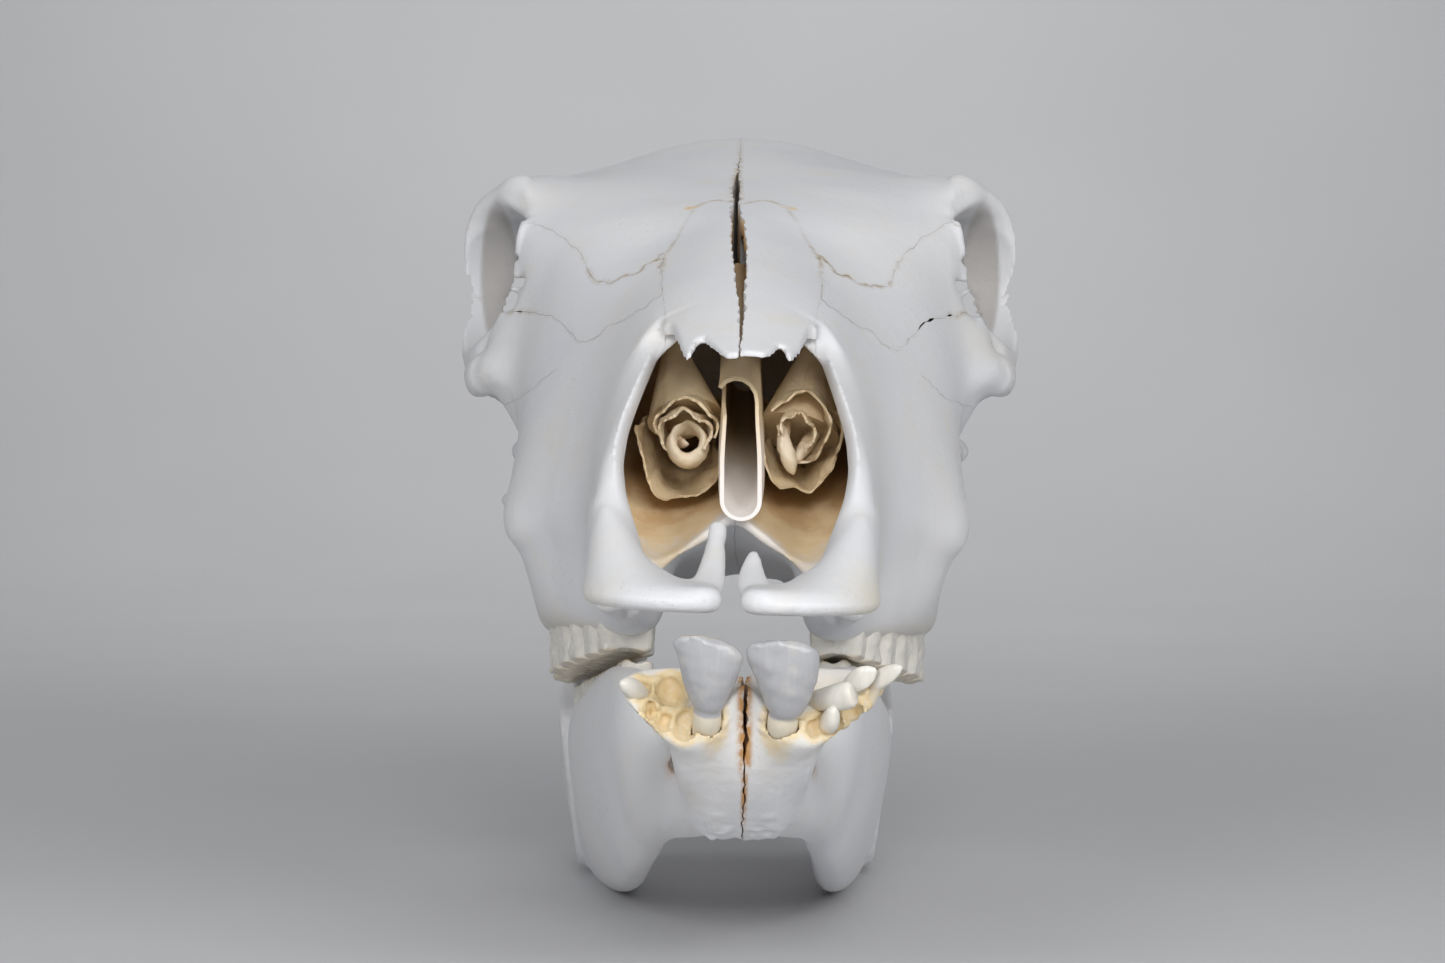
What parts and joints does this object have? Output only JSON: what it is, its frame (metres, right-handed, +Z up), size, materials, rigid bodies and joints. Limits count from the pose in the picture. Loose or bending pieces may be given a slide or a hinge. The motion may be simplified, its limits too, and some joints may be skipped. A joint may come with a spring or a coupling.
{
  "type": "bull skull",
  "caption": "Skull of a young polled bull with its lower jaw, parted along its sutures, resting on the jaw with the muzzle raised.",
  "frame": {"origin": "middle of the footprint on the floor that the jaw rests on", "axes": "+Z up, -Y towards the muzzle, +X towards the skull's own left side, which is the right of the picture"},
  "size_m": [0.2086, 0.437, 0.2867],
  "materials": {
    "skull_bone": "bleached dry bone, matte with a faint sheen",
    "face_bone": "bleached dry bone, fine pores, matte",
    "cheek_bone": "bleached dry bone with warm ivory patches",
    "nose_bone": "thin tan to brown inner bone, matte",
    "jaw_bone": "bleached dry bone, matte",
    "enamel": "white tooth enamel, soft gloss"
  },
  "bodies": {
    "root": {"braincase": "skull_bone", "frontal_left": "skull_bone", "frontal_right": "skull_bone", "nasal_left": "face_bone", "nasal_right": "face_bone", "incisive_left": "face_bone", "incisive_right": "face_bone", "lacrimal_left": "face_bone", "lacrimal_right": "face_bone", "maxilla_left": "face_bone", "maxilla_right": "face_bone", "zygomatic_left": "cheek_bone", "zygomatic_right": "cheek_bone", "palatine_left": "skull_bone", "palatine_right": "skull_bone", "vomer": "nose_bone", "ventral_concha_left": "nose_bone", "ventral_concha_right": "nose_bone", "mandible_left": "jaw_bone", "mandible_right": "jaw_bone", "incisor_left": "enamel", "incisor_right": "enamel"}
  },
  "joints": []
}
